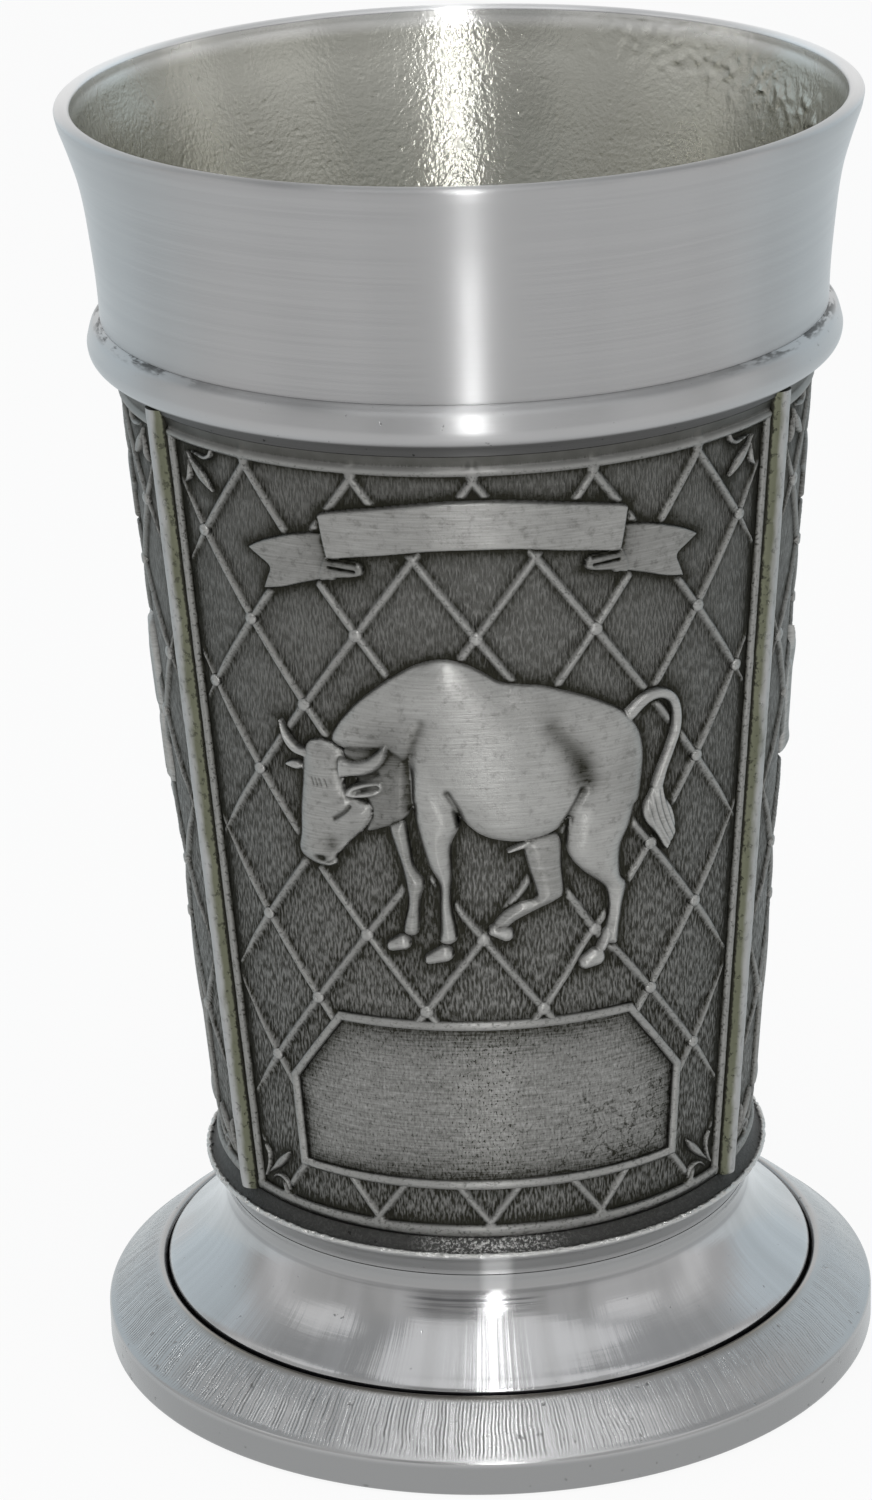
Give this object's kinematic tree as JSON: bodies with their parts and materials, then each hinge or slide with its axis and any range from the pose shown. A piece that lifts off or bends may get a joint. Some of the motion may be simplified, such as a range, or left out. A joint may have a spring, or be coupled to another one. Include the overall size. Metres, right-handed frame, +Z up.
{
  "type": "drinking beaker",
  "caption": "Tapered pewter drinking beaker with a flared lip, curved relief panels with lattice and bull, and a spreading turned foot.",
  "frame": {"origin": "middle of the foot ring's flat underside, on the table", "axes": "+Z up along the cup's axis, -Y straight out of the front relief panel"},
  "size_m": [0.0764, 0.0764, 0.125],
  "materials": {
    "turned_pewter": "bright pewter with fine turning lines, satin",
    "cast_pewter": "as cast, slightly rough and warm grey",
    "polished_pewter": "polished pewter with a soft shine",
    "filed_pewter": "satin pewter with radial file marks on the sloping top",
    "darkened_pewter": "cast relief, dark patina in the hollows and polished high spots",
    "aged_pewter": "cast bar with a grey-green patina and worn crown"
  },
  "bodies": {
    "root": {"drinking_cup": "turned_pewter", "cup_floor": "cast_pewter", "upper_bead_ring": "polished_pewter", "lower_bead_ring": "polished_pewter", "foot_neck": "polished_pewter", "foot_ring": "filed_pewter", "relief_panel_front": "darkened_pewter", "relief_panel_right": "darkened_pewter", "relief_panel_left": "darkened_pewter", "seam_rib_right": "aged_pewter", "seam_rib_back": "aged_pewter", "seam_rib_left": "aged_pewter"}
  },
  "joints": []
}
